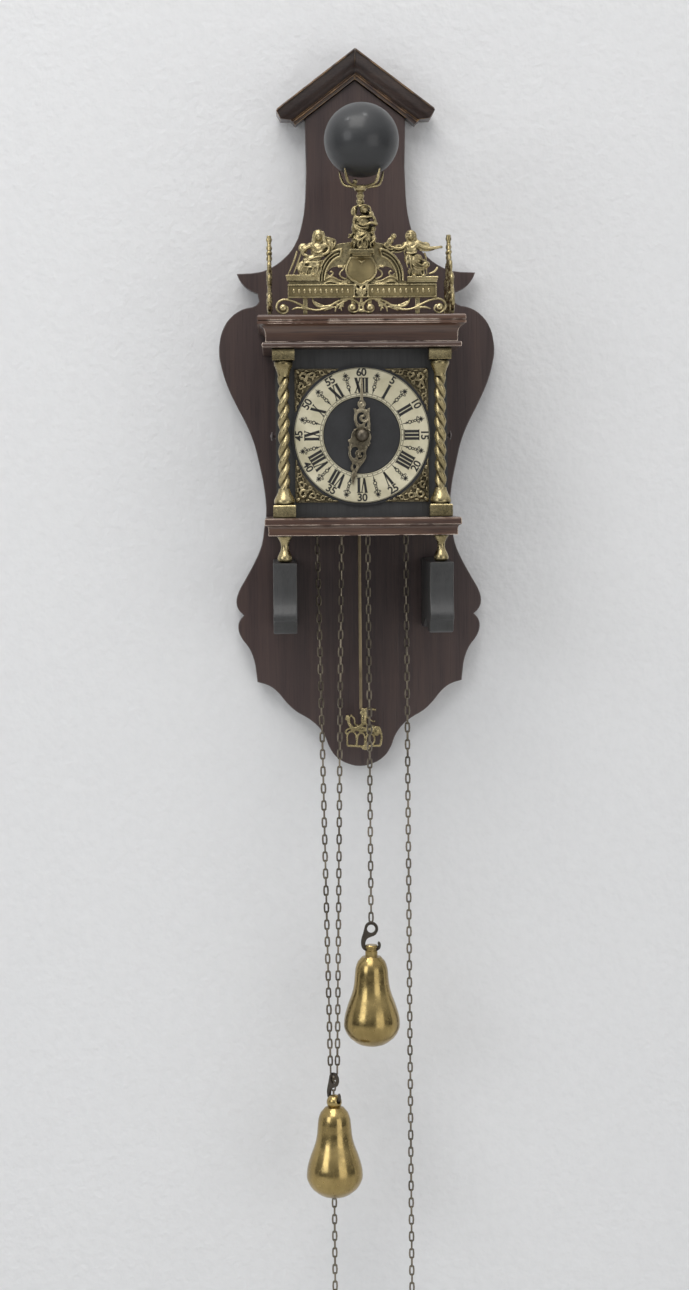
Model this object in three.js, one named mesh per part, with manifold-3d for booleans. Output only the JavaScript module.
import * as THREE from "three";
import { mergeVertices } from "three/addons/utils/BufferGeometryUtils.js";
import Module from "manifold-3d";

const wasm = await Module();
wasm.setup();

// Lengths in millimetres. X to the right, Z up, the front looks along -Y.
// The origin lies on the back face, on the centre line, at dial height.
const mm = 1;

// Size of one picture pixel at the board, at the front and at the pendulum
const boardGridSize = 0.8 * mm;
const frontGridSize = 0.752 * mm;

// Shared fits
const gap = 0.3 * mm;
const pivotGap = 0.25 * mm;
const weldDistance = 0.0001 * mm;
const biteDepth = 1 * mm;
const overrun = 2 * mm;

// Facets
const fineSides = 36;
const roundSides = 20;
const smallSides = 10;
const pinSides = 6;

// Backboard and hanger
const boardThickness = 12 * mm;
const gableApexHeight = 284.4 * mm;
const gableSlopeShare = 0.764;
const pocketWidth = 26 * mm;
const pocketHeight = 34 * mm;
const pocketDepth = 4 * mm;
const nailPocketDepth = 9 * mm;
const nailPocketInset = 4 * mm;
const pocketDrop = 62.4 * mm;
const pocketCentreHeight = gableApexHeight - pocketDrop;
const hangerThickness = 2.4 * mm;
const keyholeHeadRadius = 5 * mm;
const keyholeNeckRadius = 2.4 * mm;
const keyholeDrop = 9 * mm;

// Gable moulding
const roofDepth = 32 * mm;
const roofThickness = 17.6 * mm;
const roofReach = 90 * mm;

// Case
const caseHalfWidth = 65 * mm;
const caseFloor = -61.8 * mm;
const caseCeiling = 65.4 * mm;
const frontFrameFront = 112 * mm;
const frontFrameThickness = 6 * mm;
const frontFrameBack = frontFrameFront - frontFrameThickness;
const frontOpening = 96 * mm;
const rearFrameBack = 12.3 * mm;
const rearFrameFront = 18 * mm;
const rearFrameRail = 16 * mm;
const doorThickness = 4 * mm;
const doorRail = 12 * mm;
const glassThickness = 1.5 * mm;
const knobRadius = 3.4 * mm;
const knobLength = 3.8 * mm;
const knobInset = 6 * mm;

// Places of the columns, and the cornice and shelf that hold them
const capWidth = 17 * mm;
const columnInset = 6 * mm;
const columnClearance = 0.8 * mm;
const columnX = caseHalfWidth - columnInset;
const columnDepth = frontFrameFront + columnClearance + capWidth / 2;
const shelfOverhang = 12.7 * mm;
const shelfSideOverhang = 9 * mm;
const corniceOverhang = 3 * mm;
const corniceSideOverhang = 13.2 * mm;

// Cornice, top board and shelf
const corniceTop = 85.7 * mm;
const corniceBottom = 65.7 * mm;
const corniceHalfWidth = caseHalfWidth + corniceSideOverhang;
const corniceFront = columnDepth + shelfOverhang + corniceOverhang;
const coveInset = 6 * mm;
const lipInset = 3.2 * mm;
const lipHeight = 4.2 * mm;
const corniceFillet = 2.4 * mm;
const corniceCavityHalfWidth = 50 * mm;
const corniceCavityFront = 108 * mm;
const topBoardThickness = 4.3 * mm;
const shelfHalfWidth = caseHalfWidth + shelfSideOverhang;
const shelfFront = columnDepth + shelfOverhang;
const shelfTop = -62.1 * mm;
const shelfStepHeight = 5.6 * mm;
const shelfBottom = -75.4 * mm;
const shelfStepInset = 2.8 * mm;

// Columns, feet and brackets
const capHeight = 7.5 * mm;
const baseHeight = 9.6 * mm;
const capitalHeight = 12 * mm;
const columnBallHeight = 10 * mm;
const columnBallRadius = 7.4 * mm;
const shaftRadius = 3 * mm;
const strandRadius = 2.6 * mm;
const strandOrbit = 1.9 * mm;
const strandTurns = 3.8;
const footHeight = 20.6 * mm;
const footRadius = 5.8 * mm;
const footNeckRadius = 3 * mm;
const bracketWidth = 18 * mm;
const bracketNoseHeight = 43 * mm;
const bracketHeight = 54 * mm;
const bracketInset = 4 * mm;
const bracketFront = shelfFront - bracketInset;

// Crest, figures and globe
const crestInset = 6 * mm;
const crestFront = corniceFront - crestInset;
const crestThickness = 3 * mm;
const crestBandProud = 1.2 * mm;
const figureThickness = 7 * mm;
const fretHeight = 62 * mm;
const fretThickness = 4 * mm;
const fretOverhang = 4 * mm;
const fretX = caseHalfWidth + fretOverhang;
const fretLength = 88 * mm;
const globeRadius = 28 * mm;
const atlasFoot = 138.6 * mm;
const atlasHeight = 52.9 * mm;
const globeHeight = atlasFoot + atlasHeight + globeRadius;
const atlasX = 0.8 * mm;
const atlasBaseRadius = 5.4 * mm;

// Dial and hands
const dialPlateThickness = 1.2 * mm;
const chapterOuterRadius = 51.2 * mm;
const chapterInnerRadius = 29.3 * mm;
const chapterThickness = 1 * mm;
const chapterOverhang = 0.7 * mm;
const dialPlateWidth = (chapterOuterRadius - chapterOverhang) * 2;
const hourHandLength = 38 * mm;
const minuteHandLength = 45.6 * mm;
const handThickness = 0.9 * mm;
const handStandoff = 3.8 * mm;
const handSpacing = 2.4 * mm;
const hourHandBack = frontFrameFront + handStandoff;
const minuteHandBack = hourHandBack + handSpacing;
const hourHandAngle = 193;
const handNutRadius = 5.2 * mm;

// Movement plates
const plateHalfWidth = 48 * mm;
const plateTop = 54 * mm;
const plateBottom = -61.5 * mm;
const plateThickness = 1.5 * mm;
const backPlateFront = 56 * mm;
const frontPlateBack = 104 * mm;
const pillarRadius = 3 * mm;
const highPillarX = 20 * mm;
const highPillarZ = 49 * mm;
const lowPillarInset = 4 * mm;
const lowPillarX = plateHalfWidth - lowPillarInset;
const lowPillarZ = -52 * mm;
const arborRadius = 1.2 * mm;

// Wheel train
const greatModule = 0.8 * mm;
const centreModule = 0.6 * mm;
const thirdModule = 0.55 * mm;
const lockingModule = 0.5 * mm;
const minuteModule = 0.75 * mm;
const hourModule = 0.72 * mm;
const wheelThickness = 1.6 * mm;
const pinionOverhang = 1.5 * mm;
const meshSlack = 0.08 * mm;
const greatTeeth = 48;
const leafTeeth = 8;
const centreTeeth = 60;
const smallLeafTeeth = 6;
const thirdTeeth = 54;
const escapeTeeth = 38;
const escapeRadius = 14 * mm;
const escapeToothDepth = 2 * mm;
const pinWheelTeeth = 56;
const lockingTeeth = 48;
const cannonTeeth = 12;
const minuteTeeth = 36;
const minuteLeafTeeth = 10;
const hourTeeth = 40;
const greatPlane = 67 * mm;
const centrePlane = 88.8 * mm;
const thirdPlane = 96 * mm;
const escapePlane = 62.8 * mm;
const pinWheelPlane = 95.5 * mm;
const lockingPlane = 84.8 * mm;
const minutePlane = 107.2 * mm;
const hourPlane = 109.8 * mm;
const goingX = 20 * mm;
const strikeX = -24.5 * mm;
const greatZ = -10.1 * mm;
const thirdX = 14 * mm;
const pinWheelX = -28 * mm;
const lockingX = -16 * mm;
const flyX = -27 * mm;
const anchorZ = 40 * mm;
const palletSpread = 9.4 * mm;
const palletDrop = 2.1 * mm;
const palletArmDrop = 2 * mm;
const palletWidth = 1.6 * mm;
const crutchPlane = 50 * mm;
const crutchLength = 58 * mm;
const forkHeight = 2 * mm;
const pinRadius = 0.7 * mm;
const pinOrbit = 13 * mm;
const pinLength = 4 * mm;
const pinCount = 8;
const flyRadius = 10 * mm;
const flyThickness = 0.6 * mm;
const flyBack = 61 * mm;
const flyFront = 79 * mm;
const hammerX = -40 * mm;
const hammerZ = 30 * mm;
const hammerPlane = 90.6 * mm;
const hammerHeadZ = 68 * mm;
const bellRadius = 23 * mm;
const bellHeight = 15 * mm;
const bellRimZ = 64.5 * mm;
const bellWall = 1.4 * mm;
const bellPlane = 81 * mm;

// Pendulum
const pendulumPlane = 35 * mm;
const rodRadius = 0.8 * mm;
const springWidth = 5 * mm;
const springThickness = 0.5 * mm;
const springHeight = 12 * mm;
const bobThickness = 3 * mm;
const pendulumGridSize = 0.784 * mm;

// Chains, hooks and weights
const linkPitch = 6.6 * mm;
const linksToBulge = 3;
const goingLinks = 14;
const strikeLinks = 10;
const linkWide = 2 * mm;
const linkNarrow = 1 * mm;
const chainPlane = 75 * mm;
const sprocketWidth = 10 * mm;
const sprocketFlange = 3.6 * mm;
const rightHookZ = -381.5 * mm;
const leftHookZ = -498.5 * mm;
const hookWire = 1.3 * mm;
const hookEyeRadius = 4.4 * mm;
const hookTip = 7 * mm;
const hookHoleDrop = 3.6 * mm;
const weightRadius = 21.8 * mm;
const rightWeightTop = -394 * mm;
const rightWeightBottom = -473 * mm;
const leftWeightTop = -509.9 * mm;
const leftWeightBottom = -590.2 * mm;
const stemRadius = 4.9 * mm;
const capLength = 10.6 * mm;
const weightBallRadius = 5.9 * mm;
const chainEnd = -690 * mm;
const ringRadius = 6 * mm;
const ringWire = 1.1 * mm;

// Outlines in picture pixels, from the centre line and from the dial's centre; the gable
// moulding's start at its outer apex
const boardPixels = [
  [50, 241.25], [54, 212.25], [61, 192.25], [71, 179.75], [86, 169.25], [96, 165.65],
  [118.9, 163.95], [115.9, 157.25], [108.6, 149.05], [98.3, 143.95], [96.8, 136.25], [100.4, 132.25],
  [113.4, 128.75], [126, 119.95], [133.6, 107.75], [136.6, 95.45], [137.2, 83.25], [136, 75.85],
  [130.6, 55.75], [121.4, 34.85], [110.6, 13.65], [103.6, -3.75], [98.2, -25.75], [93.4, -50.75],
  [92, -78.75], [93.4, -85.75], [96.5, -105.75], [103.6, -122.75], [113.4, -140.75],
  [120.4, -153.95], [122.2, -163.15], [120, -170.75], [114.8, -176.25], [119.2, -181.55],
  [120.6, -188.75], [117.6, -198.35], [110.2, -208.55], [105.2, -220.75], [102.8, -235.75],
  [102, -242.75], [90.4, -246.55], [81.8, -253.15], [73, -263.75], [63.6, -272.55], [51.2, -279.95],
  [41, -288.75], [34.8, -298.35], [30.8, -308.55], [24, -318.35], [12.4, -325.35], [0, -327.75],
];
const roofPixels = [
  [0.2, 0], [77.2, -58.6], [78.2, -61.6], [74.1, -68.2], [64, -68.2], [58, -74.6], [54, -75.6],
  [0.2, -35.3],
];
const crestPixels = [
  [-85.5, 120.6], [-85.5, 130.4], [-80.5, 136], [-73.5, 136.6], [-73.5, 153.4], [-69.5, 158.9],
  [-54.5, 183.4], [-61.5, 190.4], [-51.5, 195.4], [-48.5, 204.4], [-42.5, 206.8], [-36.5, 204.4],
  [-33.5, 196.4], [-24.5, 193.4], [-27.5, 187.4], [-11.5, 192.4], [14.5, 192.4], [22.5, 186.8],
  [27.5, 194.4], [31, 199.9], [35.5, 197.9], [36.5, 189.4], [44.1, 188.9], [45.5, 196.4],
  [46.5, 203.4], [51.5, 205.6], [56.1, 202.4], [57.5, 194.4], [69.5, 189.8], [80.5, 189.4],
  [80.5, 185.8], [66.5, 184.4], [65.5, 168.4], [72.5, 164.4], [77.5, 166.4], [76.1, 150.7],
  [76.1, 136.6], [80.5, 135.8], [85.5, 130.4], [85.5, 120.6],
];
const leftPiercePixels = [
  [-30.5, 164.4], [-19.5, 166.8], [-16.1, 155], [-36.5, 153], [-35.5, 159.4],
];
const rightPiercePixels = [
  [31.5, 164.4], [20.5, 166.8], [17.1, 155], [36.5, 153], [35.5, 159.4],
];
const bobPixels = [
  [-15.5, -316.1], [-14.5, -312.7], [-10.5, -311.7], [-11.9, -303.1], [-15.9, -298.1],
  [-19.9, -292.5], [-18.1, -287.7], [-13.7, -284.5], [-11.9, -288.7], [-6.5, -291.1], [-4.5, -284.1],
  [-5.9, -278.1], [-3.5, -274.7], [3.5, -273.7], [14.5, -275.7], [9.5, -280.5], [7.9, -289.1],
  [12.5, -291.1], [17.5, -287.5], [19.9, -293.5], [16.9, -303.1], [14.5, -311.7], [17.5, -312.7],
  [18.5, -316.1],
];

function solid(geometry) {
  const bare = geometry.clone();
  bare.deleteAttribute("normal");
  bare.deleteAttribute("uv");
  const welded = mergeVertices(bare, weldDistance);
  const places = welded.attributes.position.array;
  const corners = [];
  let volume = 0;
  for (let start = 0; start < welded.index.count; start += 3) {
    const [a, b, c] = [0, 1, 2].map((step) => welded.index.getX(start + step));
    if (a === b || b === c || a === c) continue;
    corners.push([a, b, c]);
    const [p, q, r] = [a, b, c].map((corner) => new THREE.Vector3().fromArray(places, corner * 3));
    volume += p.dot(q.cross(r));
  }
  const order = volume < 0 ? [0, 2, 1] : [0, 1, 2];
  const triVerts = new Uint32Array(corners.flatMap((corner) => order.map((place) => corner[place])));
  const vertProperties = new Float32Array(places);
  return new wasm.Manifold(new wasm.Mesh({ numProp: 3, vertProperties, triVerts }));
}

function join(...bodies) {
  return bodies.reduce((whole, body) => whole.add(body));
}

function cut(body, ...tools) {
  return tools.reduce((rest, tool) => rest.subtract(tool), body);
}

// Box from its limits; depths count forward from the wall.
function block(left, right, back, front, low, high) {
  const shape = new THREE.BoxGeometry(right - left, front - back, high - low);
  shape.translate((left + right) / 2, -(back + front) / 2, (low + high) / 2);
  return solid(shape);
}

function flatShape(points, holes = []) {
  const shape = new THREE.Shape(points.map(([across, up]) => new THREE.Vector2(across, up)));
  for (const hole of holes) {
    shape.holes.push(new THREE.Path(hole.map(([across, up]) => new THREE.Vector2(across, up))));
  }
  return shape;
}

// Outline seen from the front, given its depths from the wall.
function plate(points, back, front, holes = []) {
  const options = { depth: front - back, bevelEnabled: false };
  const shape = new THREE.ExtrudeGeometry(flatShape(points, holes), options);
  shape.rotateX(Math.PI / 2);
  shape.translate(0, -back, 0);
  return solid(shape);
}

// Outline of depth and height, run from left to right.
function profileRun(points, left, right) {
  const shape = new THREE.ExtrudeGeometry(flatShape(points.map(([depth, up]) => [-depth, up])), {
    depth: right - left, bevelEnabled: false,
  });
  const turn = new THREE.Matrix4().makeBasis(
    new THREE.Vector3(0, 1, 0), new THREE.Vector3(0, 0, 1), new THREE.Vector3(1, 0, 0));
  shape.applyMatrix4(turn);
  shape.translate(left, 0, 0);
  return solid(shape);
}

// Turned about a standing axis; the profile gives radius and height.
function turnedUp(profile, x, depth, sides = roundSides) {
  const shape = new THREE.LatheGeometry(profile.map(([r, h]) => new THREE.Vector2(r, h)), sides);
  shape.rotateX(Math.PI / 2);
  shape.translate(x, -depth, 0);
  return solid(shape);
}

// Turned about an axis towards the front; the profile gives radius and depth.
function turnedForward(profile, x, z, sides = roundSides) {
  const shape = new THREE.LatheGeometry(profile.map(([r, d]) => new THREE.Vector2(r, d)), sides);
  shape.rotateX(Math.PI);
  shape.translate(x, 0, z);
  return solid(shape);
}

function rod(radius, x, z, back, front, sides = smallSides) {
  return turnedForward([[0, back], [radius, back], [radius, front], [0, front]], x, z, sides);
}

function post(radius, x, depth, low, high, sides = smallSides) {
  return turnedUp([[0, low], [radius, low], [radius, high], [0, high]], x, depth, sides);
}

function ball(radius, x, depth, z, sides = smallSides) {
  const shape = new THREE.SphereGeometry(radius, sides, Math.max(4, sides / 2));
  shape.translate(x, -depth, z);
  return solid(shape);
}

function polygon(radius, sides, x = 0, z = 0) {
  return Array.from({ length: sides }, (_, side) => {
    const angle = 2 * Math.PI * side / sides;
    return [x + radius * Math.cos(angle), z + radius * Math.sin(angle)];
  });
}

// Wire of even thickness through the given points.
function wire(points, radius, steps, sides = smallSides / 2) {
  const places = points.map(([x, depth, z]) => new THREE.Vector3(x, -depth, z));
  const extrudePath = new THREE.CatmullRomCurve3(places);
  const shape = flatShape(polygon(radius, sides));
  return solid(new THREE.ExtrudeGeometry(shape, { steps, bevelEnabled: false, extrudePath }));
}

function ringBody(radius, wireRadius, x, depth, z) {
  const shape = new THREE.TorusGeometry(radius, wireRadius, 5, 12);
  shape.rotateX(Math.PI / 2);
  shape.translate(x, -depth, z);
  return solid(shape);
}

function mirrored(body) {
  return body.mirror([1, 0, 0]);
}

function bothSides(pixels, pixel) {
  const right = scaled(pixels, pixel);
  const left = right.filter(([across]) => across > 0).map(([across, up]) => [-across, up]).reverse();
  return [...right, ...left];
}

function scaled(pixels, pixel) {
  return pixels.map(([across, up]) => [across * pixel, up * pixel]);
}

function gearOutline(teeth, module, leaf, x, z, phase = 0) {
  const pitch = 2 * Math.PI / teeth;
  const radius = teeth * module / 2;
  const wheelFlank = [[-0.5, -1.2], [0, 1]];
  const leafFlank = [[-0.25, -1.3], [-0.07, 0.7], [0.07, 0.7], [0.25, -1.3]];
  const points = [];
  for (let tooth = 0; tooth < teeth; tooth += 1) {
    for (const [share, height] of leaf ? leafFlank : wheelFlank) {
      const angle = (tooth + phase + share) * pitch;
      const reach = radius + height * module;
      points.push([x + reach * Math.cos(angle), z + reach * Math.sin(angle)]);
    }
  }
  return points;
}

function gear(teeth, module, leaf, x, z, plane, thickness, phase = 0) {
  const outline = gearOutline(teeth, module, leaf, x, z, phase);
  return plate(outline, plane - thickness / 2, plane + thickness / 2);
}

function spokeCuts(x, z, inner, outer, spokes, plane) {
  const cuts = [];
  const span = 2 * Math.PI / spokes;
  const arcSteps = 3;
  for (let spoke = 0; spoke < spokes; spoke += 1) {
    const points = [];
    for (let step = 0; step <= arcSteps; step += 1) {
      const angle = (spoke + 0.16 + 0.68 * step / arcSteps) * span;
      points.push([x + outer * Math.cos(angle), z + outer * Math.sin(angle)]);
    }
    const [start, end] = [0.7, 0.3].map((share) => (spoke + share) * span);
    points.push([x + inner * Math.cos(start), z + inner * Math.sin(start)]);
    points.push([x + inner * Math.cos(end), z + inner * Math.sin(end)]);
    cuts.push(plate(points, plane - wheelThickness, plane + wheelThickness));
  }
  return cuts;
}

function spokedWheel(teeth, module, x, z, plane, hub, spokes, phase = 0) {
  const root = teeth * module / 2 - 3.4 * module;
  const blank = gear(teeth, module, false, x, z, plane, wheelThickness, phase);
  return cut(blank, ...spokeCuts(x, z, hub, root, spokes, plane));
}

function pinion(teeth, module, x, z, plane, phase) {
  return gear(teeth, module, true, x, z, plane, wheelThickness + 2 * pinionOverhang, phase);
}

// Turn of the driven gear, in teeth, that puts a gap of its own on a tooth of the driver.
function meshPhase(driverTeeth, driverPhase, drivenTeeth, angle) {
  const driverShare = angle * driverTeeth / (2 * Math.PI) - driverPhase;
  const opposite = (angle + Math.PI) * drivenTeeth / (2 * Math.PI);
  return opposite + driverShare + 0.5;
}

function arbor(x, z) {
  const back = backPlateFront - plateThickness / 2;
  return rod(arborRadius, x, z, back, frontPlateBack + plateThickness / 2, pinSides);
}

// Places worked out from the centre distances
const greatReach = (greatTeeth + leafTeeth) * greatModule / 2;
const goingZ = -Math.sqrt(greatReach ** 2 - goingX ** 2);
const thirdReach = (centreTeeth + smallLeafTeeth) * centreModule / 2;
const thirdZ = Math.sqrt(thirdReach ** 2 - thirdX ** 2);
const escapeReach = (thirdTeeth + smallLeafTeeth) * thirdModule / 2;
const escapeZ = thirdZ + Math.sqrt(escapeReach ** 2 - thirdX ** 2);
const pinWheelZ = greatZ + Math.sqrt(greatReach ** 2 - (pinWheelX - strikeX) ** 2);
const lockingReach = (pinWheelTeeth + smallLeafTeeth) * centreModule / 2;
const lockingZ = pinWheelZ + Math.sqrt(lockingReach ** 2 - (lockingX - pinWheelX) ** 2);
const flyReach = (lockingTeeth + smallLeafTeeth) * lockingModule / 2 + meshSlack;
const flyZ = lockingZ + Math.sqrt(flyReach ** 2 - (flyX - lockingX) ** 2);
const minuteReach = (cannonTeeth + minuteTeeth) * minuteModule / 2;
const goingOrbit = goingLinks * linkPitch / (2 * Math.PI);
const strikeOrbit = strikeLinks * linkPitch / (2 * Math.PI);
const bearings = [
  [goingX, goingZ], [0, 0], [thirdX, thirdZ], [0, escapeZ], [0, anchorZ], [strikeX, greatZ],
  [pinWheelX, pinWheelZ], [lockingX, lockingZ], [flyX, flyZ], [hammerX, hammerZ],
];
const pillars = [
  [-highPillarX, highPillarZ], [highPillarX, highPillarZ],
  [-lowPillarX, lowPillarZ], [lowPillarX, lowPillarZ],
];

function backboard() {
  const outline = bothSides(boardPixels, boardGridSize);
  const neck = boardPixels[0][0] * boardGridSize;
  const shoulder = gableApexHeight - neck * gableSlopeShare;
  const gable = [[-neck, shoulder], [0, gableApexHeight], [neck, shoulder]];
  const whole = plate([...outline, ...gable.slice().sort((p, q) => p[0] - q[0])], 0, boardThickness);
  const low = pocketCentreHeight - pocketHeight / 2;
  const pocket = block(-pocketWidth / 2, pocketWidth / 2, -overrun, pocketDepth, low, low + pocketHeight);
  const nailReach = pocketWidth / 2 - nailPocketInset;
  const nailPocket = block(-nailReach, nailReach, 0, nailPocketDepth, low + nailPocketInset,
    low + pocketHeight - nailPocketInset);
  return cut(whole, pocket, nailPocket);
}

function hangerPlate() {
  const reach = pocketWidth / 2 - gap;
  const low = pocketCentreHeight - pocketHeight / 2 + gap;
  const high = pocketCentreHeight + pocketHeight / 2 - gap;
  const front = pocketDepth - gap;
  const back = front - hangerThickness;
  const head = rod(keyholeHeadRadius, 0, pocketCentreHeight - keyholeDrop / 2, back - overrun, front + overrun);
  const neckHigh = pocketCentreHeight + keyholeDrop;
  const neck = block(-keyholeNeckRadius, keyholeNeckRadius, back - overrun, front + overrun,
    pocketCentreHeight - keyholeDrop / 2, neckHigh);
  return cut(block(-reach, reach, back, front, low, high), head, neck);
}

function roofMoulding() {
  const steepness = Math.hypot(1, gableSlopeShare);
  const drop = roofThickness * steepness;
  const apex = gableApexHeight + gap * steepness + drop;
  const outline = scaled(roofPixels, boardGridSize).map(([across, up]) => [-across, apex + up]);
  const slab = plate(outline, 0, roofDepth);
  const crownShares = [
    [0.98, 1], [1, 0.94], [1, 0.82], [0.94, 0.7], [0.84, 0.62], [0.72, 0.58], [0.62, 0.5],
    [0.58, 0.36], [0.58, 0.26], [0.5, 0.2], [0.44, 0.1], [0.42, 0], [0, 0], [0, 1],
  ];
  const crown = crownShares.map(([out, up]) => [out * roofDepth, (up - 1) * drop]);
  const run = profileRun(crown, -roofReach, roofReach);
  const sloped = run.transform([
    1, 0, gableSlopeShare, 0, 0, 1, 0, 0, 0, 0, 1, 0,
    0, 0, apex, 1,
  ]);
  return slab.intersect(sloped);
}

// Body whose outline steps the same way at the left, the right and the front.
function steppedSlab(steps, halfWidth, front, back) {
  const right = steps.map(([inset, up]) => [halfWidth - inset, up]);
  const left = right.map(([across, up]) => [-across, up]).reverse();
  const acrossBody = plate([...right, ...left], back, front + overrun);
  const side = steps.map(([inset, up]) => [front - inset, up]);
  const [low, high] = [steps[0][1], steps[steps.length - 1][1]];
  const deepBody = profileRun([...side, [back, high], [back, low]], -halfWidth - overrun, halfWidth + overrun);
  return acrossBody.intersect(deepBody);
}

function corniceMoulding() {
  const height = corniceTop - corniceBottom;
  const coveLow = corniceBottom + lipHeight;
  const steps = [
    [lipInset + 1 * mm, corniceBottom], [lipInset, corniceBottom + lipHeight / 3],
    [lipInset, corniceBottom + lipHeight * 2 / 3], [lipInset + 1 * mm, coveLow],
    [coveInset, coveLow], [coveInset, coveLow + height * 0.42], [coveInset * 0.8, coveLow + height * 0.56],
    [coveInset * 0.4, corniceTop - corniceFillet], [0, corniceTop - corniceFillet], [0, corniceTop],
  ];
  const whole = steppedSlab(steps, corniceHalfWidth, corniceFront, boardThickness + gap);
  const hollow = block(-corniceCavityHalfWidth, corniceCavityHalfWidth, rearFrameFront, corniceCavityFront,
    corniceBottom - overrun, corniceTop + overrun);
  return cut(whole, hollow);
}

function topBoard() {
  const low = corniceTop + gap;
  const lip = 1 * mm;
  const steps = [[0, low], [0, low + topBoardThickness - lip], [lip, low + topBoardThickness]];
  return steppedSlab(steps, corniceHalfWidth, corniceFront, boardThickness + gap);
}

function shelfBody() {
  const stepLow = shelfTop - shelfStepHeight;
  const lip = 1 * mm;
  const steps = [
    [shelfStepInset, shelfBottom], [shelfStepInset, stepLow], [lip, stepLow], [0, stepLow + lip],
    [0, shelfTop - lip], [lip, shelfTop],
  ];
  const whole = steppedSlab(steps, shelfHalfWidth, shelfFront, boardThickness + gap);
  const slotDepth = 6 * mm;
  const slots = [[strikeX, strikeOrbit], [goingX, goingOrbit]].map(([x, orbit]) => {
    const reach = orbit + linkWide + 3 * mm;
    return block(x - reach, x + reach, chainPlane - slotDepth, chainPlane + slotDepth,
      shelfBottom - overrun, shelfTop + overrun);
  });
  const swing = 16 * mm;
  const rodSlot = block(-swing, swing, pendulumPlane - slotDepth / 1.5, pendulumPlane + slotDepth / 1.5,
    shelfBottom - overrun, shelfTop + overrun);
  return cut(whole, ...slots, rodSlot);
}

function frontFrame() {
  const opening = frontOpening / 2;
  return cut(
    block(-caseHalfWidth, caseHalfWidth, frontFrameBack, frontFrameFront, caseFloor, caseCeiling),
    block(-opening, opening, frontFrameBack - overrun, frontFrameFront + overrun, -opening, opening));
}

function rearFrame() {
  const reach = caseHalfWidth - rearFrameRail;
  return cut(
    block(-caseHalfWidth, caseHalfWidth, rearFrameBack, rearFrameFront, caseFloor, caseCeiling),
    block(-reach, reach, rearFrameBack - overrun, rearFrameFront + overrun,
      caseFloor + rearFrameRail, caseCeiling - rearFrameRail));
}

const doorBack = rearFrameFront + gap * 2;
const doorFront = frontFrameBack - gap * 2;
const doorLow = caseFloor + gap;
const doorHigh = caseCeiling - gap;

function sideDoor() {
  const inner = caseHalfWidth - doorThickness;
  return cut(
    block(inner, caseHalfWidth, doorBack, doorFront, doorLow, doorHigh),
    block(inner - overrun, caseHalfWidth + overrun, doorBack + doorRail, doorFront - doorRail,
      doorLow + doorRail, doorHigh - doorRail));
}

function doorGlass() {
  const middle = caseHalfWidth - doorThickness / 2;
  const inset = doorRail + gap;
  return block(middle - glassThickness / 2, middle + glassThickness / 2, doorBack + inset, doorFront - inset,
    doorLow + inset, doorHigh - inset);
}

function doorKnob() {
  const stem = knobRadius * 0.45;
  const profile = [
    [0, 0], [stem * 1.6, 0], [stem, knobLength * 0.25], [stem, knobLength * 0.4],
    [knobRadius, knobLength * 0.62], [knobRadius * 0.85, knobLength * 0.86], [0, knobLength],
  ];
  const shape = new THREE.LatheGeometry(profile.map(([r, h]) => new THREE.Vector2(r, h)), smallSides);
  shape.rotateZ(-Math.PI / 2);
  shape.translate(caseHalfWidth + gap, -(doorFront - knobInset), 0);
  return solid(shape);
}

function twistedStrand(turn, low, high) {
  const steps = 23;
  const points = Array.from({ length: steps + 1 }, (_, step) => {
    const share = step / steps;
    const angle = turn + share * strandTurns * 2 * Math.PI;
    return [strandOrbit * Math.cos(angle), strandOrbit * Math.sin(angle), low + share * (high - low)];
  });
  return wire(points, strandRadius, steps, 5);
}

function column() {
  const low = shelfTop + gap;
  const high = corniceBottom - gap;
  const half = capWidth / 2;
  const base = block(-half, half, -half, half, low, low + baseHeight);
  const cap = block(-half, half, -half, half, high - capHeight, high);
  const ballLow = low + baseHeight - biteDepth;
  const bulb = turnedUp([
    [0, ballLow], [columnBallRadius * 0.8, ballLow], [columnBallRadius, ballLow + columnBallHeight * 0.35],
    [columnBallRadius * 0.86, ballLow + columnBallHeight * 0.7], [shaftRadius, ballLow + columnBallHeight * 1.2],
    [0, ballLow + columnBallHeight * 1.2],
  ], 0, 0, 16);
  const capitalHigh = high - capHeight + biteDepth;
  const capital = turnedUp([
    [0, capitalHigh - capitalHeight], [shaftRadius * 1.3, capitalHigh - capitalHeight],
    [shaftRadius * 1.5, capitalHigh - capitalHeight * 0.8], [half * 0.86, capitalHigh - capitalHeight * 0.35],
    [half * 0.9, capitalHigh - capitalHeight * 0.15], [half * 0.8, capitalHigh], [0, capitalHigh],
  ], 0, 0, 16);
  const shaftLow = ballLow + columnBallHeight / 2;
  const shaftHigh = capitalHigh - capitalHeight / 2;
  const strands = [0, Math.PI].map((turn) => twistedStrand(turn, shaftLow, shaftHigh));
  return join(base, cap, bulb, capital, ...strands).translate([columnX, -columnDepth, 0]);
}

function foot() {
  const high = shelfBottom - gap;
  const low = high - footHeight + 2 * gap;
  const height = high - low;
  const shares = [
    [0.9, 0], [1, 0.12], [0.96, 0.28], [0.62, 0.5], [0.52, 0.62], [0.58, 0.78], [0.94, 0.94], [0.94, 1],
  ];
  const profile = shares.map(([out, up]) => [out * footRadius, low + up * height]);
  return turnedUp([[0, low], ...profile, [0, high]], columnX, columnDepth, 16);
}

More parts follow.
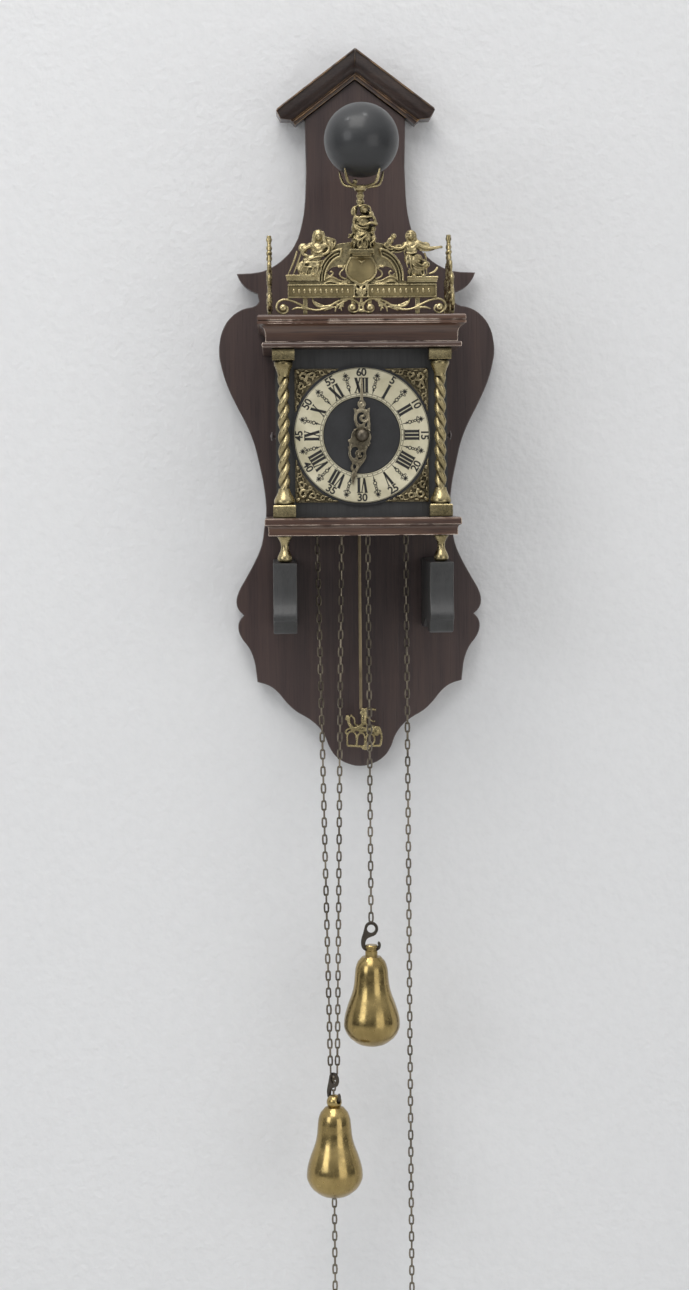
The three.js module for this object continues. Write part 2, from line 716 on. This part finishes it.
function bracket() {
  const high = shelfBottom - footHeight;
  const low = high - bracketHeight;
  const back = boardThickness + gap;
  const nose = high - bracketNoseHeight;
  const reach = bracketFront - back;
  const shares = [
    [0.93, 0], [0.86, 0.04], [0.7, -0.02], [0.5, -0.06], [0.32, -0.1], [0.24, -0.2], [0.2, -0.26],
  ];
  const under = shares.map(([out, up]) => [back + out * reach, nose + up * bracketNoseHeight]);
  const points = [[bracketFront, high], [bracketFront, nose + 2 * mm], ...under, [back, low], [back, high]];
  return profileRun(points, columnX - bracketWidth / 2, columnX + bracketWidth / 2);
}

const atlasDepth = crestFront + gap + atlasBaseRadius;

function crest() {
  const toFront = (pixels) => scaled(pixels, frontGridSize);
  const low = corniceTop + topBoardThickness + 2 * gap;
  const back = crestFront - crestThickness;
  const pierces = [leftPiercePixels, rightPiercePixels].map((pixels) => plate(toFront(pixels),
    back - overrun, crestFront + overrun));
  const whole = cut(plate(toFront(crestPixels), back, crestFront), ...pierces);
  const half = crestPixels[crestPixels.length - 1][0] * frontGridSize;
  const foot = block(-half, half, back, crestFront, low, low + 2 * mm);
  const bandPixels = [[-73.5, 137], [-73.5, 150.7], [75.5, 150.7], [75.5, 137]];
  const band = plate(toFront(bandPixels), crestFront - biteDepth, crestFront + crestBandProud);
  const [shieldX, shieldZ] = toFront([[-0.5, 166]])[0];
  const shieldOutline = polygon(12 * mm, 8, shieldX, shieldZ);
  const shield = plate(shieldOutline, crestFront - biteDepth, crestFront + crestBandProud);
  const ledgePixels = [[-10.5, 178.4], [-10.5, 183.9], [11, 183.9], [11, 178.4]];
  const ledge = plate(toFront(ledgePixels), crestFront - crestThickness, atlasDepth + atlasBaseRadius);
  const figurePixels = [[-42.5, 174.4, 13], [-42.5, 200.4, 6], [49.5, 174.4, 13], [49.5, 199.4, 6]];
  const bodies = figurePixels.map(([x, row, wide]) => {
    const [across, up] = toFront([[x, row]])[0];
    const radius = wide * frontGridSize;
    const shape = new THREE.SphereGeometry(radius, 8, 5);
    shape.scale(0.8, figureThickness / radius / 1.6, 1.2);
    shape.translate(across, -crestFront, up);
    return solid(shape);
  });
  return join(whole, foot, band, shield, ledge, ...bodies);
}

function atlasFigure() {
  const depth = atlasDepth;
  const scale = atlasHeight / 52;
  const at = (x, up) => [atlasX + x * scale, depth, atlasFoot + up * scale];
  const limb = (points, radius) => wire(points.map(([x, up]) => at(x, up)), radius * scale, 4);
  const body = turnedUp([
    [0, at(0, 16)[2]], [3.6 * scale, at(0, 16)[2]], [4.6 * scale, at(0, 22)[2]], [5 * scale, at(0, 28)[2]],
    [2 * scale, at(0, 32)[2]], [0, at(0, 33)[2]],
  ], atlasX, depth, smallSides);
  const base = turnedUp([
    [0, atlasFoot], [atlasBaseRadius, atlasFoot], [atlasBaseRadius, atlasFoot + 2 * scale],
    [0, atlasFoot + 2 * scale],
  ], atlasX, depth, smallSides);
  const support = turnedUp([
    [0, at(0, 36)[2]], [2.2 * scale, at(0, 36)[2]], [1.8 * scale, at(0, 45)[2]], [5 * scale, at(0, 52)[2]],
    [0, at(0, 52)[2]],
  ], atlasX, depth, smallSides);
  return join(
    body, base, support, ball(3.4 * scale, atlasX, depth, at(0, 34.5)[2]),
    limb([[-2, 18], [-4.4, 9], [-3, 0]], 2), limb([[2, 18], [3.6, 9], [3, 0]], 2),
    limb([[-4, 27], [-7, 33], [-3, 42], [0, 45]], 1.5), limb([[4, 27], [7.4, 32], [3, 42], [0, 45]], 1.5));
}

function globe() {
  const shape = new THREE.SphereGeometry(globeRadius, roundSides, 12);
  shape.rotateX(Math.PI / 2);
  shape.translate(atlasX, -atlasDepth, globeHeight + gap * 2);
  return solid(shape);
}

function sideFret() {
  const low = corniceTop + topBoardThickness + 2 * gap;
  const shares = [
    [0, 0], [1, 0], [1, 0.16], [0.96, 0.4], [0.88, 0.62], [0.8, 0.5], [0.7, 0.66], [0.6, 0.84], [0.5, 1],
    [0.4, 0.84], [0.3, 0.66], [0.2, 0.5], [0.12, 0.62], [0.04, 0.4], [0, 0.16],
  ];
  const back = corniceFront - 10 * mm - fretLength;
  const points = shares.map(([along, up]) => [back + along * fretLength, low + up * fretHeight]);
  return profileRun(points, fretX - fretThickness / 2, fretX + fretThickness / 2);
}

function dialPlate() {
  const half = dialPlateWidth / 2;
  const back = frontFrameFront + gap;
  const corners = [[-half, -half], [half, -half], [half, half], [-half, half]];
  const hole = polygon(3.4 * mm, smallSides);
  const sheet = plate(corners, back, back + dialPlateThickness, [hole]);
  const castings = corners.map(([x, z]) => {
    const inset = 8.4 * mm;
    const reach = 6.6 * mm;
    const [cx, cz] = [x - Math.sign(x) * inset, z - Math.sign(z) * inset];
    return block(cx - reach, cx + reach, back, back + dialPlateThickness * 2.4, cz - reach, cz + reach)
      .subtract(rod(chapterOuterRadius + gap, 0, 0, back - overrun, back + overrun * 3, fineSides));
  });
  return join(sheet, ...castings.map((casting) => casting));
}

function chapterRing() {
  const back = frontFrameFront + gap * 2 + dialPlateThickness;
  const outer = polygon(chapterOuterRadius, fineSides);
  return plate(outer, back, back + chapterThickness, [polygon(chapterInnerRadius, fineSides)]);
}

function handBody(length, angle, back, widths, boreRadius) {
  const right = widths.map(([along, half]) => [half, along * length]);
  const left = right.slice().reverse().map(([half, along]) => [-half, along]);
  const boss = rod(boreRadius + 2.4 * mm, 0, 0, back, back + handThickness, smallSides);
  const bore = rod(boreRadius, 0, 0, back - overrun, back + overrun, smallSides);
  const blade = plate([...right, ...left], back, back + handThickness);
  const turn = new THREE.Matrix4().makeRotationY(angle * Math.PI / 180);
  return cut(join(blade, boss), bore).transform(turn.toArray());
}

function hourHand() {
  const widths = [
    [0, 1.4 * mm], [0.12, 1.4 * mm], [0.2, 6 * mm], [0.42, 5 * mm], [0.5, 1.2 * mm], [0.62, 4.4 * mm],
    [0.8, 3 * mm], [1, 0.3 * mm],
  ];
  return handBody(hourHandLength, hourHandAngle, hourHandBack, widths, 2.2 * mm);
}

function minuteHand() {
  const widths = [[0, 1.3 * mm], [0.14, 1.3 * mm], [0.26, 6 * mm], [0.5, 4.4 * mm], [0.58, 1 * mm], [1, 0.3 * mm]];
  return handBody(minuteHandLength, 0, minuteHandBack, widths, 1.5 * mm);
}

function handNut() {
  const back = minuteHandBack + handThickness + gap;
  return turnedForward([
    [0, back], [handNutRadius, back], [handNutRadius * 0.92, back + 1.4 * mm],
    [handNutRadius * 0.6, back + 3.4 * mm], [0, back + 4.4 * mm],
  ], 0, 0, 16);
}

function pierced(sheet, back) {
  const holes = bearings.map(([x, z]) => rod(arborRadius + pivotGap, x, z, back - overrun, back + overrun * 2, pinSides));
  return cut(sheet, ...holes);
}

function backPlate() {
  const back = backPlateFront - plateThickness;
  const sheet = block(-plateHalfWidth, plateHalfWidth, back, backPlateFront, plateBottom, plateTop);
  const reach = frontPlateBack - gap;
  const posts = pillars.map(([x, z]) => rod(pillarRadius, x, z, backPlateFront - plateThickness / 2, reach));
  return join(pierced(sheet, back), ...posts);
}

function frontPlate() {
  const sheet = block(-plateHalfWidth, plateHalfWidth, frontPlateBack, frontPlateBack + plateThickness,
    plateBottom, plateTop);
  const stud = rod(arborRadius + pivotGap, 0, -minuteReach, frontPlateBack - overrun, frontPlateBack + overrun * 2,
    pinSides);
  const wide = rod(arborRadius + 1 * mm + pivotGap, 0, 0, frontPlateBack - overrun, frontPlateBack + overrun * 2);
  return cut(pierced(sheet, frontPlateBack), stud, wide);
}

function pendulumCock() {
  const back = backPlateFront - plateThickness - gap;
  const low = anchorZ + 5 * mm;
  const high = plateTop - 1 * mm;
  const half = 7 * mm;
  const thick = 2.5 * mm;
  const foot = block(-half, half, back - thick, back, low, high);
  const arm = block(-half / 2, half / 2, pendulumPlane - 4 * mm, back, low + 2 * mm, low + 5 * mm);
  const slit = block(-0.9 * mm, 0.9 * mm, pendulumPlane - springWidth / 2 - 0.6 * mm,
    pendulumPlane + springWidth / 2 + 0.6 * mm, low, high);
  return cut(join(foot, arm), slit);
}

function sprocket(x, z, orbit) {
  const low = chainPlane - sprocketWidth / 2;
  const high = chainPlane + sprocketWidth / 2;
  const core = orbit - linkNarrow - gap;
  const flange = orbit + sprocketFlange - linkWide;
  const rim = 1.4 * mm;
  return turnedForward([
    [0, low], [flange, low], [flange, low + rim], [core, low + rim + 1 * mm], [core, high - rim - 1 * mm],
    [flange, high - rim], [flange, high], [0, high],
  ], x, z, 20);
}

function greatWheel(x, z, orbit) {
  const low = chainPlane - sprocketWidth / 2;
  const neck = rod(arborRadius * 3, x, z, greatPlane, low + biteDepth);
  const wheel = spokedWheel(greatTeeth, greatModule, x, z, greatPlane, 5 * mm, 4);
  return join(wheel, neck, sprocket(x, z, orbit), arbor(x, z));
}

const goingAngle = Math.atan2(-goingZ, -goingX);
const centrePhase = meshPhase(greatTeeth, 0, leafTeeth, goingAngle);
const thirdAngle = Math.atan2(thirdZ, thirdX);
const thirdPhase = meshPhase(centreTeeth, 0, smallLeafTeeth, thirdAngle);
const escapeAngle = Math.atan2(escapeZ - thirdZ, -thirdX);
const escapePhase = meshPhase(thirdTeeth, 0, smallLeafTeeth, escapeAngle);
const pinWheelAngle = Math.atan2(pinWheelZ - greatZ, pinWheelX - strikeX);
const pinWheelPhase = meshPhase(greatTeeth, 0, leafTeeth, pinWheelAngle);
const lockingAngle = Math.atan2(lockingZ - pinWheelZ, lockingX - pinWheelX);
const lockingPhase = meshPhase(pinWheelTeeth, 0, smallLeafTeeth, lockingAngle);
const flyAngle = Math.atan2(flyZ - lockingZ, flyX - lockingX);
const flyPhase = meshPhase(lockingTeeth, 0, smallLeafTeeth, flyAngle);
const downAngle = -Math.PI / 2;
const minutePhase = meshPhase(cannonTeeth, 0, minuteTeeth, downAngle);
const hourPhase = meshPhase(minuteLeafTeeth, 0, hourTeeth, -downAngle);

function centreWheel() {
  const shaft = rod(1 * mm, 0, 0, frontPlateBack, minuteHandBack + handThickness + gap / 2, pinSides);
  const step = rod(arborRadius + 1 * mm, 0, 0, frontPlateBack + plateThickness / 3, minutePlane, smallSides);
  return join(
    arbor(0, 0), shaft, step,
    spokedWheel(centreTeeth, centreModule, 0, 0, centrePlane, 4 * mm, 4),
    pinion(leafTeeth, greatModule, 0, 0, greatPlane, centrePhase),
    gear(cannonTeeth, minuteModule, true, 0, 0, minutePlane, wheelThickness));
}

function thirdWheel() {
  return join(
    arbor(thirdX, thirdZ), spokedWheel(thirdTeeth, thirdModule, thirdX, thirdZ, thirdPlane, 4 * mm, 4),
    pinion(smallLeafTeeth, centreModule, thirdX, thirdZ, centrePlane, thirdPhase));
}

function escapeWheel() {
  const points = [];
  for (let tooth = 0; tooth < escapeTeeth; tooth += 1) {
    const angle = (share) => (tooth + share) * 2 * Math.PI / escapeTeeth;
    const root = escapeRadius - escapeToothDepth;
    points.push([root * Math.cos(angle(0)), root * Math.sin(angle(0)) + escapeZ]);
    points.push([escapeRadius * Math.cos(angle(0.5)), escapeRadius * Math.sin(angle(0.5)) + escapeZ]);
  }
  const disc = plate(points, escapePlane - wheelThickness / 2, escapePlane + wheelThickness / 2);
  const rim = escapeRadius - escapeToothDepth * 1.8;
  return join(
    cut(disc, ...spokeCuts(0, escapeZ, 3.4 * mm, rim, 4, escapePlane)), arbor(0, escapeZ),
    pinion(smallLeafTeeth, thirdModule, 0, escapeZ, thirdPlane, escapePhase));
}

function anchorBody() {
  const tip = escapeZ + escapeRadius - palletDrop;
  const arm = palletWidth;
  const half = [
    [0, anchorZ + palletArmDrop], [palletSpread * 0.7, anchorZ + palletArmDrop * 0.6],
    [palletSpread + arm, anchorZ - palletArmDrop * 0.5], [palletSpread + arm, tip], [palletSpread, tip],
    [palletSpread - arm / 2, anchorZ - palletArmDrop], [palletSpread * 0.5, anchorZ - palletArmDrop * 0.8],
    [0, anchorZ - palletArmDrop * 0.8],
  ];
  const other = half.slice(1, -1).map(([x, z]) => [-x, z]).reverse();
  const pallets = plate([...half, ...other], escapePlane - wheelThickness, escapePlane + wheelThickness);
  const axle = rod(arborRadius, 0, anchorZ, crutchPlane - 1 * mm, frontPlateBack + plateThickness / 2, pinSides);
  const low = anchorZ - crutchLength;
  const wireRadius = 0.8 * mm;
  const stem = block(-wireRadius, wireRadius, crutchPlane - wireRadius, crutchPlane + wireRadius, low, anchorZ);
  const reach = pendulumPlane - 3 * mm;
  const fork = [-1, 1].map((side) => {
    const middle = side * (rodRadius + gap + wireRadius);
    return block(middle - wireRadius, middle + wireRadius, reach, crutchPlane, low, low + forkHeight);
  });
  const span = rodRadius + gap + wireRadius * 2;
  const bridge = block(-span, span, crutchPlane - wireRadius, crutchPlane + wireRadius, low, low + forkHeight);
  return join(pallets, axle, stem, bridge, ...fork);
}

function minuteWheel() {
  const z = -minuteReach;
  return join(
    rod(arborRadius, 0, z, frontPlateBack - 1 * mm, hourPlane + wheelThickness, pinSides),
    gear(minuteTeeth, minuteModule, false, 0, z, minutePlane, wheelThickness, minutePhase),
    gear(minuteLeafTeeth, hourModule, true, 0, z, hourPlane, wheelThickness));
}

function hourWheel() {
  const pipe = [arborRadius + gap, arborRadius + gap + 0.6 * mm];
  const back = hourPlane - wheelThickness / 2;
  const tube = turnedForward([
    [pipe[0], back], [pipe[1], back], [pipe[1], hourHandBack + handThickness],
    [pipe[0], hourHandBack + handThickness], [pipe[0], back],
  ], 0, 0, 12);
  const wheel = gear(hourTeeth, hourModule, false, 0, 0, hourPlane, wheelThickness, hourPhase);
  return join(cut(wheel, rod((pipe[0] + pipe[1]) / 2, 0, 0, back - overrun, back + overrun * 2, 12)), tube);
}

function pinWheel() {
  const pins = Array.from({ length: pinCount }, (_, pin) => {
    const angle = 2 * Math.PI * (pin + 0.5) / pinCount;
    const [x, z] = [pinWheelX + pinOrbit * Math.cos(angle), pinWheelZ + pinOrbit * Math.sin(angle)];
    return rod(pinRadius, x, z, pinWheelPlane - pinLength - wheelThickness / 2, pinWheelPlane, 6);
  });
  return join(
    arbor(pinWheelX, pinWheelZ), gear(pinWheelTeeth, centreModule, false, pinWheelX, pinWheelZ, pinWheelPlane,
      wheelThickness),
    pinion(leafTeeth, greatModule, pinWheelX, pinWheelZ, greatPlane, pinWheelPhase), ...pins);
}

function lockingWheel() {
  return join(
    arbor(lockingX, lockingZ),
    spokedWheel(lockingTeeth, lockingModule, lockingX, lockingZ, lockingPlane, 4 * mm, 4),
    pinion(smallLeafTeeth, centreModule, lockingX, lockingZ, pinWheelPlane, lockingPhase));
}

function flyBody() {
  return join(
    arbor(flyX, flyZ), pinion(smallLeafTeeth, lockingModule, flyX, flyZ, lockingPlane, flyPhase),
    block(flyX - flyRadius, flyX + flyRadius, flyBack, flyFront, flyZ - flyThickness, flyZ + flyThickness));
}

function hammerBody() {
  const rimX = -Math.sqrt(bellRadius ** 2 - (hammerPlane - bellPlane) ** 2);
  const headRadius = 3.6 * mm;
  const headEnd = rimX - 1 * mm;
  const headStart = headEnd - 9 * mm;
  const head = new THREE.CylinderGeometry(headRadius, headRadius, headEnd - headStart, smallSides);
  head.rotateZ(Math.PI / 2);
  head.translate((headStart + headEnd) / 2, -hammerPlane, hammerHeadZ);
  const stem = 0.9 * mm;
  const top = (headStart + headEnd) / 2;
  const arm = plate([
    [hammerX - stem, hammerZ], [hammerX + stem, hammerZ], [top + stem, hammerHeadZ], [top - stem, hammerHeadZ],
  ], hammerPlane - stem, hammerPlane + stem);
  const tail = plate([
    [hammerX, hammerZ - stem], [hammerX + 9 * mm, hammerZ - 3 * mm], [hammerX + 9 * mm, hammerZ - 1 * mm],
    [hammerX, hammerZ + stem],
  ], hammerPlane - stem, hammerPlane + stem);
  const hub = rod(arborRadius * 2, hammerX, hammerZ, hammerPlane - 2 * mm, hammerPlane + 2 * mm);
  return join(arbor(hammerX, hammerZ), hub, arm, tail, solid(head));
}

function bell() {
  const shares = [[1, 0], [0.93, 0.2], [0.86, 0.5], [0.7, 0.82], [0.4, 0.97]];
  const top = bellRimZ + bellHeight;
  const outer = shares.map(([out, up]) => [out * bellRadius, bellRimZ + up * bellHeight]);
  const inner = shares.map(([out, up]) => [out * bellRadius - bellWall, bellRimZ + up * (bellHeight - bellWall)]);
  const hole = 1.8 * mm;
  return turnedUp([
    ...outer, [hole, top], [hole, top - bellWall], ...inner.reverse(), outer[0],
  ], 0, bellPlane, roundSides);
}

function bellPost() {
  const half = 3 * mm;
  const thick = 1.6 * mm;
  const back = backPlateFront + gap;
  const barLow = plateTop + 1 * mm;
  const strap = block(-half, half, back, back + thick, plateTop - 8 * mm, barLow + thick);
  const bar = block(-half, half, back, bellPlane + half, barLow, barLow + thick);
  const nutLow = bellRimZ + bellHeight + gap;
  const stem = post(1.5 * mm, 0, bellPlane, barLow, nutLow + 1 * mm, pinSides);
  const nut = post(3.4 * mm, 0, bellPlane, nutLow, nutLow + 2 * mm, 6);
  return join(strap, bar, stem, nut);
}

function pendulumRod() {
  const high = anchorZ + 3 * mm;
  const blockLow = high - springHeight;
  const bobTop = Math.max(...bobPixels.map(([, up]) => up)) * pendulumGridSize;
  const half = springWidth / 2;
  const spring = block(-springThickness / 2, springThickness / 2, pendulumPlane - half, pendulumPlane + half,
    blockLow, high + 4 * mm);
  const clamp = block(-1.6 * mm, 1.6 * mm, pendulumPlane - half, pendulumPlane + half, blockLow - 5 * mm, blockLow);
  const stem = post(rodRadius, 0, pendulumPlane, bobTop + gap, blockLow - 2 * mm, pinSides);
  return join(spring, clamp, stem);
}

function pendulumBob() {
  const outline = scaled(bobPixels, pendulumGridSize);
  const half = bobThickness / 2;
  return plate(outline, pendulumPlane - half, pendulumPlane + half);
}

function pearWeight(x, top, bottom, stem) {
  const bodyTop = stem[stem.length - 1][1];
  const bodyShares = [
    [0.34, 0], [0.48, 0.05], [0.57, 0.13], [0.6, 0.24], [0.66, 0.36], [0.79, 0.48], [0.91, 0.59],
    [0.985, 0.69], [1, 0.75], [0.96, 0.81], [0.86, 0.87], [0.7, 0.92], [0.46, 0.97],
  ];
  const body = bodyShares.map(([out, down]) => [out * weightRadius, bodyTop - down * (bodyTop - bottom)]);
  return turnedUp([[0, top], ...stem.slice(0, -1), ...body, [0, bottom]], x, chainPlane, roundSides);
}

function hookHole(x, z, acrossFront) {
  const hole = rod(hookWire + gap * 2, 0, z, -weightRadius, weightRadius, pinSides);
  return hole.rotate([0, 0, acrossFront ? 90 : 0]).translate([x, -chainPlane, 0]);
}

// The right weight ends in a short cap, the left one in a ball.
function cappedWeight(x, top, bottom) {
  const low = top - capLength;
  const stem = [
    [stemRadius * 0.6, top], [stemRadius * 0.95, top - capLength * 0.14], [stemRadius, top - capLength * 0.4],
    [stemRadius, low], [stemRadius, low],
  ];
  return cut(pearWeight(x, top, bottom, stem), hookHole(x, top - hookHoleDrop, true));
}

function balledWeight(x, top, bottom) {
  const middle = top - weightBallRadius;
  const stem = [0.55, 0.86, 1, 0.86, 0.5].map((share, step) => [
    share * weightBallRadius * 1.1, middle + weightBallRadius * [0.86, 0.5, 0, -0.5, -0.86][step],
  ]);
  stem.push([0, middle - weightBallRadius * 0.9]);
  return cut(pearWeight(x, top, bottom, stem), hookHole(x, middle, false));
}

// Hook with its eye above and its curl through the cap's hole, along X or along the depth.
function hook(x, eyeZ, holeZ, acrossFront) {
  const reach = weightBallRadius * 1.1 + hookWire + gap;
  const path = [
    [-hookEyeRadius * 0.6, eyeZ - hookEyeRadius * 0.8], [-reach, (eyeZ + holeZ) / 2 + hookWire],
    [-reach, holeZ + hookWire * 1.6], [-reach * 0.7, holeZ], [0, holeZ], [reach * 0.7, holeZ],
    [reach, holeZ + hookWire * 1.6], [reach, holeZ + hookTip],
  ].map(([out, z]) => [out, 0, z]);
  const steps = 14;
  const whole = join(wire(path, hookWire, steps), ringBody(hookEyeRadius, hookWire, 0, 0, eyeZ));
  return whole.rotate([0, 0, acrossFront ? 0 : 90]).translate([x, -chainPlane, 0]);
}

// Run of links, simplified to a square bar that swells once for every few links.
function chainRun(fromX, fromZ, toX, toZ, depth = chainPlane) {
  const length = Math.hypot(toX - fromX, toZ - fromZ);
  const pairs = Math.round(length / (linksToBulge * linkPitch));
  const step = length / pairs;
  const profile = [[0, 0]];
  for (let pair = 0; pair < pairs; pair += 1) {
    profile.push([linkNarrow, pair * step], [linkWide, (pair + 0.5) * step]);
  }
  profile.push([linkNarrow, length], [0, length]);
  const shape = new THREE.LatheGeometry(profile.map(([r, h]) => new THREE.Vector2(r, h)), 4);
  shape.rotateX(-Math.PI / 2);
  shape.rotateY(Math.atan2(fromX - toX, fromZ - toZ));
  shape.translate(fromX, -depth, fromZ);
  return solid(shape);
}

function overSprocket(x, z, orbit) {
  const points = Array.from({ length: 13 }, (_, step) => {
    const angle = Math.PI * step / 12;
    return [x + orbit * Math.cos(angle), chainPlane, z + orbit * Math.sin(angle)];
  });
  return wire(points, linkNarrow, 16, 4);
}

function chainParts() {
  const [leftIn, leftOut] = [strikeX + strikeOrbit, strikeX - strikeOrbit];
  const [rightIn, rightOut] = [goingX - goingOrbit, goingX + goingOrbit];
  const top = rightHookZ + hookEyeRadius + hookWire + gap;
  const leftTop = leftHookZ + hookEyeRadius;
  const spread = hookWire + linkNarrow + gap;
  const tailDepth = chainPlane - weightRadius - linkWide - 1 * mm;
  const split = linkWide;
  const eyeBack = chainPlane - hookEyeRadius - hookWire - gap;
  return {
    going_chain_weight_side: chainRun(rightIn, goingZ - split, rightIn, top),
    going_chain_free_side: join(chainRun(rightOut, goingZ, rightOut, chainEnd),
      overSprocket(goingX, goingZ, goingOrbit)),
    strike_chain_weight_side: chainRun(leftOut, greatZ - split, strikeX - spread, leftTop),
    strike_chain_free_side: join(chainRun(leftIn, greatZ, strikeX + spread, leftTop),
      overSprocket(strikeX, greatZ, strikeOrbit)),
    strike_chain_tail: join(
      chainRun(strikeX, leftHookZ, strikeX, chainEnd, tailDepth),
      wire([[strikeX, eyeBack, leftHookZ], [strikeX, tailDepth, leftHookZ - linkWide]], linkNarrow, 2, 4),
      ringBody(ringRadius, ringWire, strikeX, tailDepth, chainEnd - ringRadius)),
    going_chain_ring: ringBody(ringRadius, ringWire, rightOut, chainPlane, chainEnd - ringRadius - ringWire - gap),
  };
}

const finishes = {
  mahogany: { color: 0x4a3028, roughness: 0.45, metalness: 0 },
  cornice: { color: 0x6a4436, roughness: 0.45, metalness: 0 },
  ebonised: { color: 0x2a2a2c, roughness: 0.5, metalness: 0 },
  brass: { color: 0xa08850, roughness: 0.4, metalness: 1 },
  polished: { color: 0xb8944c, roughness: 0.25, metalness: 1 },
  steel: { color: 0x6c6c6c, roughness: 0.4, metalness: 1 },
  iron: { color: 0x33302c, roughness: 0.6, metalness: 1 },
  ball: { color: 0x2e3336, roughness: 0.5, metalness: 0 },
  silvered: { color: 0xd2ccb4, roughness: 0.5, metalness: 0.3 },
  glass: { color: 0xe8f0f0, roughness: 0.05, metalness: 0 },
};

function pair(name, body, finish) {
  return [[`${name}_left`, mirrored(body), finish], [`${name}_right`, body, finish]];
}

function buildNodes() {
  const chains = chainParts();
  const rightX = goingX - goingOrbit;
  const rightHole = rightWeightTop - hookHoleDrop;
  const leftHole = leftWeightTop - weightBallRadius;
  const roof = roofMoulding();
  return [
    ["backboard", backboard(), "mahogany"],
    ["hanger_plate", hangerPlate(), "iron"],
    ["roof_moulding_left", roof, "cornice"],
    ["roof_moulding_right", mirrored(roof), "cornice"],
    ["top_board", topBoard(), "cornice"],
    ["cornice_moulding", corniceMoulding(), "cornice"],
    ["shelf", shelfBody(), "cornice"],
    ["front_frame", frontFrame(), "ebonised"],
    ["rear_frame", rearFrame(), "mahogany"],
    ...pair("side_door", sideDoor(), "mahogany"),
    ...pair("door_glass", doorGlass(), "glass"),
    ...pair("door_knob", doorKnob(), "brass"),
    ...pair("column", column(), "brass"),
    ...pair("foot", foot(), "brass"),
    ...pair("bracket", bracket(), "ebonised"),
    ["front_crest", crest(), "brass"],
    ["atlas_figure", atlasFigure(), "brass"],
    ["globe", globe(), "ball"],
    ...pair("side_fret", sideFret(), "brass"),
    ["dial_plate", dialPlate(), "brass"],
    ["chapter_ring", chapterRing(), "silvered"],
    ["hour_hand", hourHand(), "brass"],
    ["minute_hand", minuteHand(), "brass"],
    ["hand_nut", handNut(), "brass"],
    ["back_plate", backPlate(), "polished"],
    ["front_plate", frontPlate(), "polished"],
    ["pendulum_cock", pendulumCock(), "steel"],
    ["going_great_wheel", greatWheel(goingX, goingZ, goingOrbit), "polished"],
    ["centre_wheel", centreWheel(), "polished"],
    ["third_wheel", thirdWheel(), "polished"],
    ["escape_wheel", escapeWheel(), "polished"],
    ["anchor", anchorBody(), "steel"],
    ["minute_wheel", minuteWheel(), "polished"],
    ["hour_wheel", hourWheel(), "polished"],
    ["strike_great_wheel", greatWheel(strikeX, greatZ, strikeOrbit), "polished"],
    ["pin_wheel", pinWheel(), "polished"],
    ["locking_wheel", lockingWheel(), "polished"],
    ["fly", flyBody(), "polished"],
    ["hammer", hammerBody(), "steel"],
    ["bell", bell(), "polished"],
    ["bell_post", bellPost(), "steel"],
    ["pendulum_rod", pendulumRod(), "brass"],
    ["pendulum_bob", pendulumBob(), "brass"],
    ["weight_left", balledWeight(strikeX, leftWeightTop, leftWeightBottom), "polished"],
    ["weight_right", cappedWeight(rightX, rightWeightTop, rightWeightBottom), "polished"],
    ["hook_left", hook(strikeX, leftHookZ, leftHole, false), "iron"],
    ["hook_right", hook(rightX, rightHookZ, rightHole, true), "iron"],
    ...Object.entries(chains).map(([name, body]) => [name, body, "iron"]),
  ];
}

function nodeMesh([name, body, finish]) {
  const made = body.getMesh();
  const geometry = new THREE.BufferGeometry();
  geometry.setAttribute("position", new THREE.Float32BufferAttribute(made.vertProperties, 3));
  geometry.setIndex(new THREE.Uint32BufferAttribute(made.triVerts, 1));
  geometry.computeVertexNormals();
  const mesh = new THREE.Mesh(geometry, new THREE.MeshStandardMaterial(finishes[finish]));
  mesh.name = name;
  return mesh;
}

const clock = new THREE.Group();
clock.name = "wall_clock";
clock.add(...buildNodes().map(nodeMesh));

export default clock;
